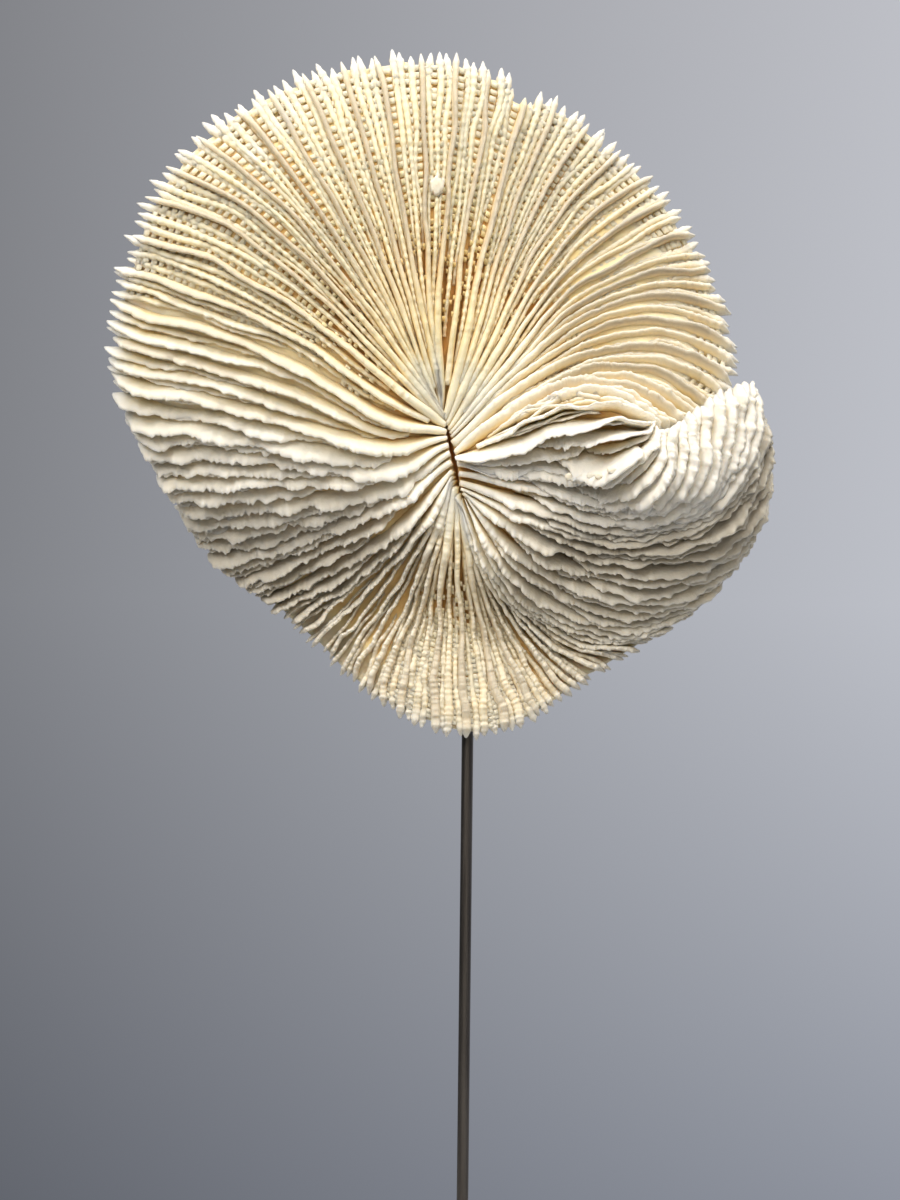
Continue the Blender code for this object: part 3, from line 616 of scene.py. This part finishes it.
def septa(name, turns, steps, starts, heights, grown, thick, seed, beads=0.0, till=0.994, filled=0.0,
          crowds=CROWDED_BROAD):
    """A family of septa at these turns round the mouth, with this many steps along each.

    The starts and heights are pairs, for the fans and for the crowded lobes, and grown is the share of the
    way out where a wall has its full height. The thickness is a pair too, at the mouth and further out.
    Beads is how beaded the edge is, and filled is the share of the room between neighbours that the walls
    take up in the fans.
    """
    count = len(turns)
    draw = np.random.default_rng(seed)
    number = (np.arange(count) + seed * 37)[:, None]
    turns = turns + draw.uniform(-STRAY, STRAY, count) / max(count, 128)
    begin = starts[0] + (starts[1] - starts[0]) * round_the_mouth(turns, *LATE)
    begin = (begin + draw.uniform(-0.05, 0.07, count) * (begin > 0.02))[:, None]
    end = (till + draw.uniform(-0.02, 0.006, count) - round_the_mouth(turns, *NOTCHED))[:, None]
    s = begin + (end - begin) * np.linspace(0, 1, steps)[None, :]
    u = turns[:, None] + (WANDER / ALL_SEPTA) * ripple(s * 9, number) * smooth(0.1, 0.4, s)
    far = s * TO_MARGIN
    ragged = round_the_mouth(u, *RAGGED)
    crowded = round_the_mouth(u, *crowds)
    foot = read(form, u, s)
    up = read(stand, u, s)
    ahead = unit(np.gradient(foot, axis=1))
    side = unit(np.cross(ahead, up))
    down = np.array([0, 0, -1.0])
    drop = unit(down - ahead * np.sum(ahead * down, axis=-1, keepdims=True))

    # Height: blunt or sloping at the start, lower at the margin, with teeth, chips, tears and beads
    tall = heights[0] + (heights[1] - heights[0]) * crowded * smooth(grown - 0.3, grown, s)
    blunt = np.where(begin < STARTS_AT_MOUTH, BLUNT_START, SLOPING_START)
    tall = tall * (blunt + (1 - blunt) * smooth(begin, begin + SLOPE_LONG, s))
    tall = tall * smooth(begin - 0.02, begin + 0.012, s)
    tall = tall * (1 - (LOWER_AT_MARGIN - LESS_LOW_WHERE_CROWDED * crowded) * smooth(0.84, 1.0, s))
    waves = LONG_WAVE * ripple(far / LONG_WAVE_PITCH, number + 7)
    waves = waves + SHORT_WAVE * ripple(far / SHORT_WAVE_PITCH, number + 9)
    tall = tall * (1 + waves)
    tooth = ripple(far / TOOTH_PITCH, number + 11) + ripple(far / WIDE_TOOTH_PITCH, number + 12)
    tooth = TOOTH_HIGH * (0.2 + ragged) * tooth
    tooth = tooth + CHIP_HIGH * ragged * ripple(far / CHIP_PITCH, number + 15)
    tooth = tooth + TEAR_HIGH * ragged * ripple(far / TEAR_PITCH, number + 3)
    tooth = tooth + beads * (1 - crowded) * ripple(far / BEAD_PITCH, number + 5)
    laced = (filled > 0) * (1 - crowded) * np.sin(2 * math.pi * far / LACE_PITCH + 2.4 * number)
    tall = np.maximum(tall + tooth * smooth(0.05, 0.2, s), LOWEST_EDGE) + LACE_HIGH * laced

    # Thickness: never past the wall's share of the room at first, then thicker on the ridge, and broad in
    # the fans, where the younger walls nearly touch
    long_way = read(turn_long, u, s)[..., 0]
    room = long_way / max(count, OLDEST)
    wide = thick[1] + (thick[0] - thick[1]) * (1 - smooth(0.1, 0.5, s))
    wide = wide + THICKER_TIP * smooth(*TIP_THICKENS, s)
    wide = wide + THICKER_BLUNT * round_the_mouth(u, *BLUNT) * smooth(*BLUNT_THICKENS, s)
    wide = np.minimum(wide, (FILLS_ROOM - FILLS_LESS * (1 - crowded) * smooth(0.1, 0.26, s)) * room)
    on_ridge = round_the_mouth(u, *ON_RIDGE) * smooth(*RIDGE_BEGINS, s)
    wide = wide + THICKER_ON_RIDGE * on_ridge
    packed = filled * (1 - crowded) * (PACKED_FIRST + (1 - PACKED_FIRST) * smooth(*PACKS_FULLY, s))
    wide = wide * (1 - THINNER_WHERE_CROWDED * crowded * (1 - on_ridge))
    wide = np.maximum(wide, packed * long_way / ALL_SEPTA)
    wide = wide * (1 + beads * ripple(far / BEAD_SIDE_PITCH, number + 13)) * (1 + LACE_HIGH * laced)
    sway = LONG_BEND * ripple(far / LONG_BEND_PITCH, number + 17)
    sway = sway + SHORT_BEND * ripple(far / SHORT_BEND_PITCH, number + 19)
    sway = (0.12 + 0.5 * ragged) * sway * smooth(0.08, 0.3, s)
    close = np.sqrt(np.clip((end - s) / TIP_LONG, 0, 1))
    close = 0.12 + 0.88 * close * (0.4 + 0.6 * close)

    # Colours: white tips and crusts, painted shade on thin crests and on walls that tip up, brown stains, and
    # painted shadow on the lobes, a little less at the tops of the walls
    at_tip = smooth(TIP_BEGINS, 0.98, s)
    whiter = round_the_mouth(u, *WHITER)
    whiter = np.maximum(whiter + (TIP_WHITE - whiter) * smooth(TIP_BEGINS, 1.0, s), crusted(foot))
    painted_crest_shade = SHADE_ON_THIN_CRESTS * (1 - crowded) * (filled == 0) + SHADE_ON_TIPPED_WALLS * round_the_mouth(u, *TIPPED_UP_SHADE)
    painted_crest_shade = painted_crest_shade * smooth(0.25, 0.6, s) * (1 - 0.6 * at_tip)
    stain = round_the_mouth(u, *STAINED) * smooth(*STAIN_BEGINS, s) * (1 - smooth(*STAIN_ENDS, s))
    stain = stain * (0.7 + 0.3 * ripple(far / 4, number + 23))
    painted_shadow = round_the_mouth(u, *PAINTED_SHADOW) * smooth(*SHADOW_BEGINS, s) * (1 - LESS_SHADOW_ON_RIDGE * on_ridge)

    rings, tints = [], []
    for across, up_share in SECTION:
        if up_share:
            lift = tall * up_share
        else:
            lift = np.full_like(tall, -ROOT_DEPTH) * (1 - 0.8 * smooth(0.93, 1.0, s))
        rise = np.clip(lift / TALLEST, 0, 1)
        ring = foot + up * (lift * close)[..., None]
        ring = ring + side * ((across * wide * close) + sway * rise**1.2)[..., None]
        ring = ring + drop * (CURL * crowded * rise**2)[..., None]
        rings.append(ring)
        crest = up_share**2
        shown = np.maximum(smooth(0.1, 0.5, rise), at_tip)
        # Low on each wall the height tint runs to the brown of the slots, partly as painted shade, and
        # painted light lifts the crests of the low rows in the fans.
        painted_row_light = PAINTED_ROW_LIGHT * (filled > 0) * (1 - crowded) * crest
        near_mouth = MOUTH_CREST * (1 - smooth(*MOUTH_CREST_ENDS, s)) * crest
        light = np.maximum(np.maximum(0.04 + 0.96 * rise, near_mouth), painted_row_light)
        light = light * (1 - STAIN_DARK * stain * (1 - 0.8 * crest))
        tints.append(np.stack([
            np.maximum(light, TIP_WHITE * at_tip),
            np.maximum(whiter * shown, 0.15 * painted_row_light * (1 - stain)),
            np.maximum(painted_crest_shade * smooth(0.45, 0.85, up_share), painted_shadow * (1 - 0.15 * smooth(0.35, 0.85, rise))),
        ], -1))
    points = np.stack(rings, 2)
    wrap = len(SECTION)
    k = np.arange(count)[:, None, None]
    i = np.arange(steps - 1)[None, :, None]
    j = np.arange(wrap)[None, None, :]
    a = (k * steps + i) * wrap + j
    b = (k * steps + i) * wrap + (j + 1) % wrap
    quads = np.stack([a, b, b + wrap, a + wrap], -1)
    first = (np.arange(count) * steps * wrap)[:, None] + np.arange(wrap)[None, ::-1]
    last = (np.arange(count) * steps * wrap + (steps - 1) * wrap)[:, None] + np.arange(wrap)[None, :]
    chalk(name, points, quads, np.stack(tints, 2), (first, last))


def halfway(count):
    """Turns for a family of this many septa, each halfway between two older ones."""
    return (np.arange(count) + 0.5) / count


septa("septa_oldest", np.arange(OLDEST) / OLDEST, steps=300, starts=(0.0, 0.0), heights=(3.7, 7.2), grown=0.3,
      thick=(2.4, 1.15), seed=1)
septa("septa_second", halfway(OLDEST), steps=270, starts=(0.06, 0.18), heights=(3.5, 7.2), grown=0.4,
      thick=(1.6, 1.15), seed=2)
septa("septa_third", halfway(2 * OLDEST), steps=180, starts=(0.16, 0.34), heights=(2.7, 6.8), grown=0.6,
      thick=(0.9, 1.1), seed=3, beads=0.12, filled=0.8)
septa("septa_youngest", halfway(4 * OLDEST), steps=95, starts=(0.4, 0.5), heights=(2.4, 4.6), grown=0.8,
      thick=(0.8, 0.9), seed=4, beads=0.12, filled=0.82, crowds=CROWDED)

# The walls at the fold: the long blade along the fold's edge, the tall lip that curls over it, three low
# blades below, and the broken laths behind. They are septa like the others, of the same limestone, that
# grew where the disc folds back on itself.
septa("long_blade", turn_of([9.0]), steps=110, starts=(0.01, 0.01), heights=(7.5, 7.5), grown=0.3,
      thick=(1.6, 1.3), seed=61)
septa("curled_lip", turn_of([9.5]), steps=60, starts=(0.37, 0.37), heights=(10.5, 10.5), grown=0.3,
      thick=(1.8, 1.7), seed=62, till=0.82)
septa("blades_below", turn_of([9.3, 9.5, 9.72]), steps=90, starts=(0.06, 0.06), heights=(5.5, 5.5), grown=0.3,
      thick=(1.0, 1.1), seed=63, till=0.6)
septa("broken_laths", turn_of([8.5, 8.58, 8.66, 8.74, 8.82, 8.9]), steps=60, starts=(0.18, 0.2),
      heights=(3.4, 3.4), grown=0.5, thick=(0.8, 0.8), seed=64, beads=0.2, till=0.72)

# The knob and the warts: small rounded growths of the same limestone, one in the fan above the mouth and
# a few on the curled lip, fused to the septa they sit on. Each row is the rib, the share of the way out,
# the height over the plate and three half sizes: across, up and deep.
KNOBS = (
    (32.83, 0.615, 2.1, 1.75, 2.5, 1.6),
    (9.5, 0.47, 8.8, 1.1, 1.0, 1.0), (9.5, 0.51, 9.6, 0.9, 0.8, 0.8), (9.5, 0.56, 9.3, 1.3, 1.1, 1.1),
    (9.5, 0.61, 8.6, 0.9, 0.9, 0.9), (9.5, 0.66, 9.4, 1.0, 0.8, 0.8), (9.52, 0.71, 8.8, 1.2, 1.0, 1.0),
)
KNOB_AROUND, KNOB_ALONG = 24, 14
KNOB_SQUARENESS = 0.72
# The knobs' tints are height, whiteness and a little of the painted shade grey.
KNOB_TINTS = (0.8, 0.35, 0.15)


def knobs():
    """Lumpy balls in one piece."""
    around, along = KNOB_AROUND, KNOB_ALONG
    a = np.arange(around)[:, None] / around * 2 * math.pi
    b = np.linspace(0.06, math.pi - 0.06, along)[None, :]
    ball = np.stack([np.sin(b) * np.cos(a), np.sin(b) * np.sin(a), np.cos(b) + 0 * a], -1)
    ball = np.sign(ball) * np.abs(ball)**KNOB_SQUARENESS
    lumps = 0.92 + 0.14 * np.sin(3 * a) * np.sin(3 * b) + 0.09 * np.sin(7 * b + 5 * a)
    i, j = np.arange(around)[:, None], np.arange(along - 1)[None, :]
    quad = np.stack([i * along + j, i * along + j + 1, (i + 1) % around * along + j + 1,
                     (i + 1) % around * along + j], -1)
    ends = np.stack([np.arange(around)[::-1] * along, np.arange(around) * along + along - 1])
    points, quads, caps = [], [], []
    for number, (rib, share, lift, wide, tall, deep) in enumerate(KNOBS):
        turn = turn_of([rib])
        centre = read(form, turn, np.array([share])) + lift * read(stand, turn, np.array([share]))
        points.append(ball * lumps[..., None] * (wide, deep, tall) + centre)
        quads.append(quad.reshape(-1, 4) + number * around * along)
        caps.append(ends + number * around * along)
    points = np.stack(points)
    tints = np.ones_like(points) * KNOB_TINTS
    chalk("knobs", points, np.concatenate(quads), tints, (np.concatenate(caps),))


knobs()

# The cross bars: short struts of limestone, called synapticulae, that grew from septum to septum in the
# fans. They nearly fill the floor between the walls and leave rows of small pits. Each bar has three cuts,
# at one wall, halfway and at the next, and the middle one hangs a little lower.
BAR_PITCH = 1.75
BAR_LONG = 1.62
BAR_DEEP = 0.8
BAR_TOP = 2.1
BAR_REACH = 0.4
BAR_CUTS = ((-1, 0.05), (0, -0.05), (1, 0.05))
BAR_CORNERS = ((-0.5, -BAR_DEEP), (0.5, -BAR_DEEP), (0.45, 0.0), (-0.45, 0.0))
FIRST_BAR = 0.27
TOO_CROWDED = 0.35
BARS_KEPT_FIRST, ALL_KEPT = 0.35, (0.38, 0.62)
CLEAR_OF_RIM = 0.01
# The bars' sides sit at the brown end of the height tint and their tops at the cream: partly the coral's
# tone, partly painted shade low down.
BAR_LIGHT, BAR_TOP_LIGHT, BAR_TOP_WHITE = 0.15, 0.6, 0.15


def cross_bars():
    """A ladder of bars in each gap between neighbouring septa."""
    draw = np.random.default_rng(21)
    u, s = [], []
    for k in range(ALL_SEPTA):
        turn = (k + 0.5) / ALL_SEPTA
        if round_the_mouth(turn, *CROWDED) > TOO_CROWDED:
            continue
        shares = np.arange(FIRST_BAR + draw.uniform(0, 0.04), PLATE_END, BAR_PITCH / TO_MARGIN)
        kept = BARS_KEPT_FIRST + (1 - BARS_KEPT_FIRST) * smooth(*ALL_KEPT, shares)
        shares = shares[draw.uniform(0, 1, len(shares)) < kept]
        shares = shares[shares < PLATE_END - CLEAR_OF_RIM - round_the_mouth(turn, *NOTCHED)]
        u.append(np.full_like(shares, turn))
        s.append(shares + draw.uniform(-0.003, 0.003, len(shares)))
    u, s = np.concatenate(u), np.concatenate(s)
    count = len(u)
    whiter = round_the_mouth(u, *WHITER)
    whiter = whiter + (0.8 - whiter) * smooth(0.8, 1.0, s)
    top = BAR_TOP * (1 - 0.45 * smooth(0.84, 1.0, s)) + draw.uniform(-0.25, 0.1, count)
    size = BAR_LONG * draw.uniform(0.7, 1.05, count)
    stain = round_the_mouth(u, *STAINED) * (1 - smooth(0.45, 0.9, s))
    rings, tints = [], []
    for across, lift in BAR_CUTS:
        uu = u + across * (BAR_REACH / ALL_SEPTA)
        foot = read(form, uu, s)
        up = read(stand, uu, s)
        along = unit(read(form, uu, s + 0.004) - read(form, uu, s - 0.004))
        for a, b in BAR_CORNERS:
            rings.append(foot + along * (a * size)[:, None] + up * (top + lift + b)[:, None])
            light = (BAR_LIGHT if b else BAR_TOP_LIGHT) * (1 - 0.88 * stain)
            white = (0.0 if b else BAR_TOP_WHITE) * (1 - stain)
            tints.append(np.stack([light, white, 0 * s], -1))
    base = (np.arange(count) * len(BAR_CUTS) * len(BAR_CORNERS))[:, None, None]
    i = np.arange(2)[None, :, None]
    j = np.arange(4)[None, None, :]
    a = base + i * 4 + j
    b = base + i * 4 + (j + 1) % 4
    quads = np.stack([a, b, b + 4, a + 4], -1)
    first = base[:, 0] + np.array([3, 2, 1, 0])
    last = base[:, 0] + np.array([8, 9, 10, 11])
    chalk("cross_bars", np.stack(rings, 1), quads, np.stack(tints, 1), (first, last))


cross_bars()

# The rod: a slim bar of drawn steel, darkened with age, with fine streaks along it from the drawing. Its
# top is pushed into the coral's hole and its foot into the plate's.
STEEL_DARK = (0.08, 0.07, 0.065)
STEEL_PALE = (0.24, 0.22, 0.20)
STEEL_ROUGHNESS = (0.28, 0.5)
STREAKS_A_METRE = (900, 900, 30)


def drawn_steel():
    material = bpy.data.materials.new("dark drawn steel")
    material.use_nodes = True
    nodes, links = material.node_tree.nodes, material.node_tree.links
    shader = nodes["Principled BSDF"]
    shader.inputs["Metallic"].default_value = 1.0
    place = nodes.new("ShaderNodeTexCoord")
    stretch = nodes.new("ShaderNodeMapping")
    stretch.inputs["Scale"].default_value = STREAKS_A_METRE
    links.new(place.outputs["Object"], stretch.inputs["Vector"])
    streak = nodes.new("ShaderNodeTexNoise")
    streak.inputs["Scale"].default_value = 1.0
    streak.inputs["Detail"].default_value = 5
    links.new(stretch.outputs["Vector"], streak.inputs["Vector"])
    ramp = nodes.new("ShaderNodeValToRGB")
    ramp.color_ramp.elements[0].color = (*STEEL_DARK, 1)
    ramp.color_ramp.elements[1].color = (*STEEL_PALE, 1)
    links.new(streak.outputs["Fac"], ramp.inputs["Fac"])
    links.new(ramp.outputs["Color"], shader.inputs["Base Color"])
    rough = nodes.new("ShaderNodeMapRange")
    rough.inputs["To Min"].default_value = STEEL_ROUGHNESS[0]
    rough.inputs["To Max"].default_value = STEEL_ROUGHNESS[1]
    links.new(streak.outputs["Fac"], rough.inputs["Value"])
    links.new(rough.outputs["Result"], shader.inputs["Roughness"])
    return material


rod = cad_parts["rod"]
rod.data.materials.clear()
rod.data.materials.append(drawn_steel())

# The base plate: a square of mild steel, its edges broken with a file, heated and oiled until it is
# black. The rod stands in a hole in its middle.
BLACKENED_DARK = (0.018, 0.018, 0.020)
BLACKENED_PALE = (0.075, 0.072, 0.070)
BLACKENED_ROUGHNESS = (0.35, 0.62)
BLACKENED_SHEEN = 0.8
CLOUDS_A_METRE = 40


def blackened_steel():
    material = bpy.data.materials.new("blackened steel")
    material.use_nodes = True
    nodes, links = material.node_tree.nodes, material.node_tree.links
    shader = nodes["Principled BSDF"]
    shader.inputs["Metallic"].default_value = BLACKENED_SHEEN
    place = nodes.new("ShaderNodeTexCoord")
    cloud = nodes.new("ShaderNodeTexNoise")
    cloud.inputs["Scale"].default_value = CLOUDS_A_METRE
    cloud.inputs["Detail"].default_value = 8
    links.new(place.outputs["Object"], cloud.inputs["Vector"])
    ramp = nodes.new("ShaderNodeValToRGB")
    ramp.color_ramp.elements[0].color = (*BLACKENED_DARK, 1)
    ramp.color_ramp.elements[1].color = (*BLACKENED_PALE, 1)
    links.new(cloud.outputs["Fac"], ramp.inputs["Fac"])
    links.new(ramp.outputs["Color"], shader.inputs["Base Color"])
    rough = nodes.new("ShaderNodeMapRange")
    rough.inputs["To Min"].default_value = BLACKENED_ROUGHNESS[0]
    rough.inputs["To Max"].default_value = BLACKENED_ROUGHNESS[1]
    links.new(cloud.outputs["Fac"], rough.inputs["Value"])
    links.new(rough.outputs["Result"], shader.inputs["Roughness"])
    return material


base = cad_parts["base_plate"]
base.data.materials.clear()
base.data.materials.append(blackened_steel())
